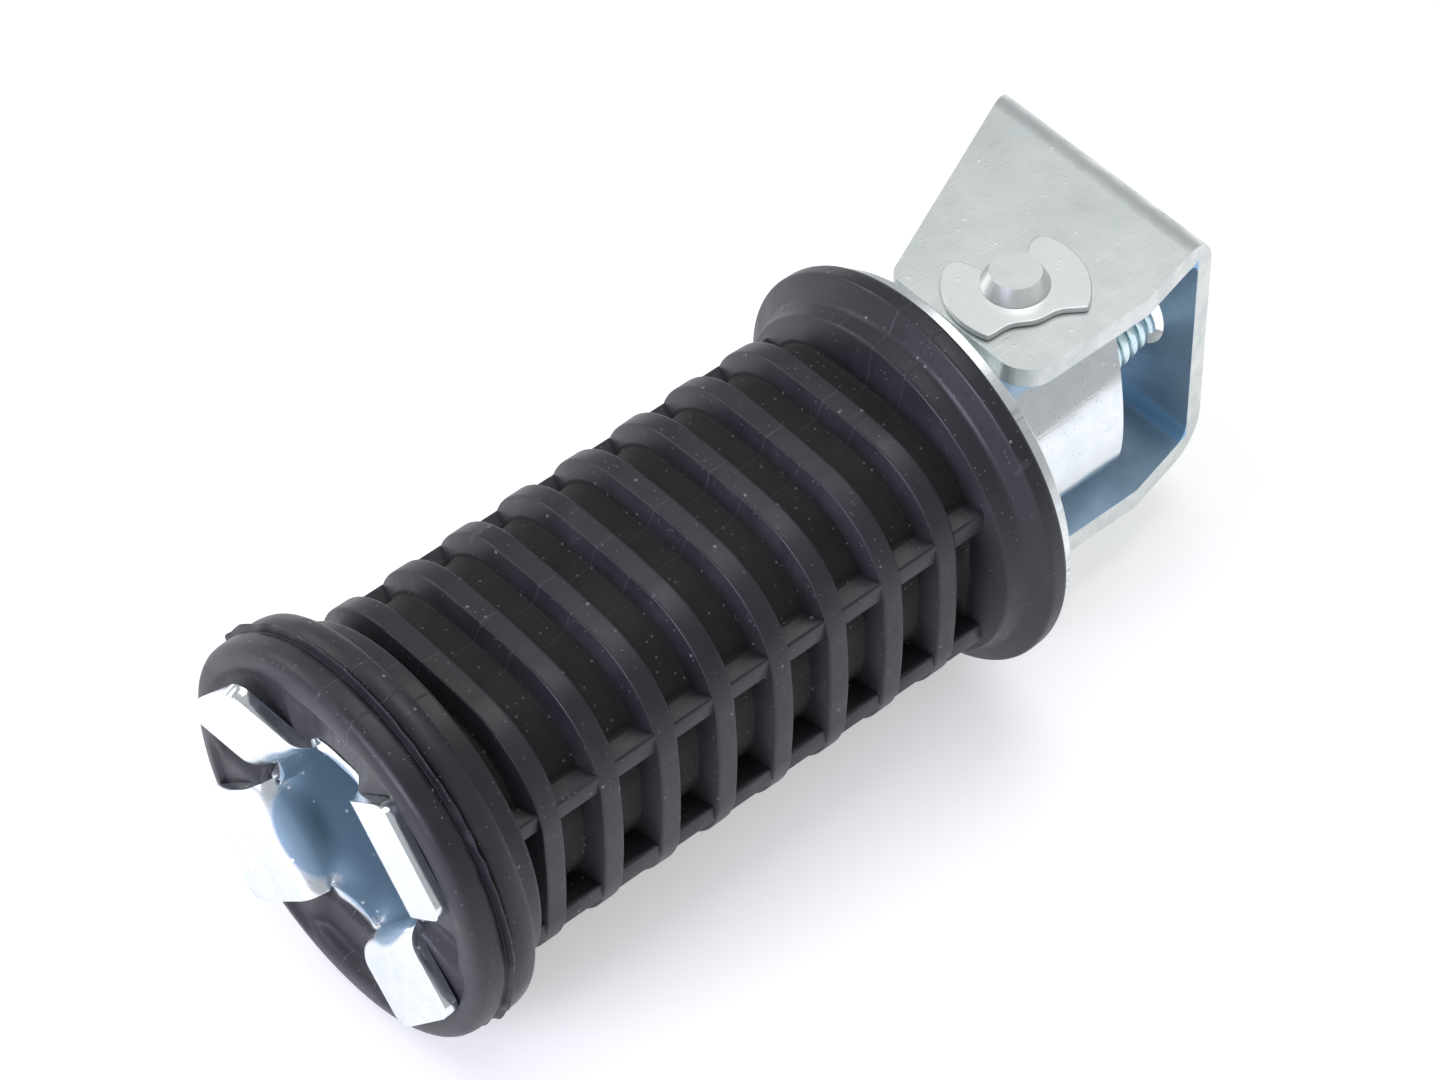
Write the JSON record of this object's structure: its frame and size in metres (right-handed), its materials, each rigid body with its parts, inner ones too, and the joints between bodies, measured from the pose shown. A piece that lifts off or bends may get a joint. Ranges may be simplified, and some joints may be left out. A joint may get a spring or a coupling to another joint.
{
  "type": "folding motorcycle foot peg",
  "caption": "Folding foot peg: ribbed rubber sleeve on a steel tube with turned-out tabs, pivoting on a pin in a pressed U bracket.",
  "frame": {"origin": "centre of the mounting hole on the outside face of the bracket wall", "axes": "+X out along the peg to its tabbed end, +Z along the hinge pin to its clipped end, +Y to the side the peg folds to"},
  "size_m": [0.1528, 0.0626, 0.0624],
  "materials": {
    "bracket_zinc": "blue-white zinc plate over pressed steel",
    "pin_zinc": "zinc plate over turned steel",
    "clip_zinc": "zinc plate over spring steel",
    "tube_zinc": "bright zinc plate",
    "bush_steel": "plain turned steel",
    "flange_zinc": "zinc plate, sheared edge",
    "rubber": "moulded satin black rubber",
    "spring_zinc": "blue-white zinc plate over spring wire",
    "seat_steel": "plain turned steel"
  },
  "bodies": {
    "bracket_body": {"bracket": "bracket_zinc", "hinge_pin": "pin_zinc", "retaining_clip": "clip_zinc"},
    "peg": {"peg_tube": "tube_zinc", "pivot_bush": "bush_steel", "flange_plate": "flange_zinc", "rubber_sleeve": "rubber", "detent_spring": "spring_zinc", "spring_seat": "seat_steel"}
  },
  "joints": [
    {"name": "peg_fold", "type": "hinge", "parent": "bracket_body", "child": "peg", "pos_m": [0.0288, 0.0015, 0], "axis": [0, 0, 1], "range_deg": [0, 90]}
  ]
}
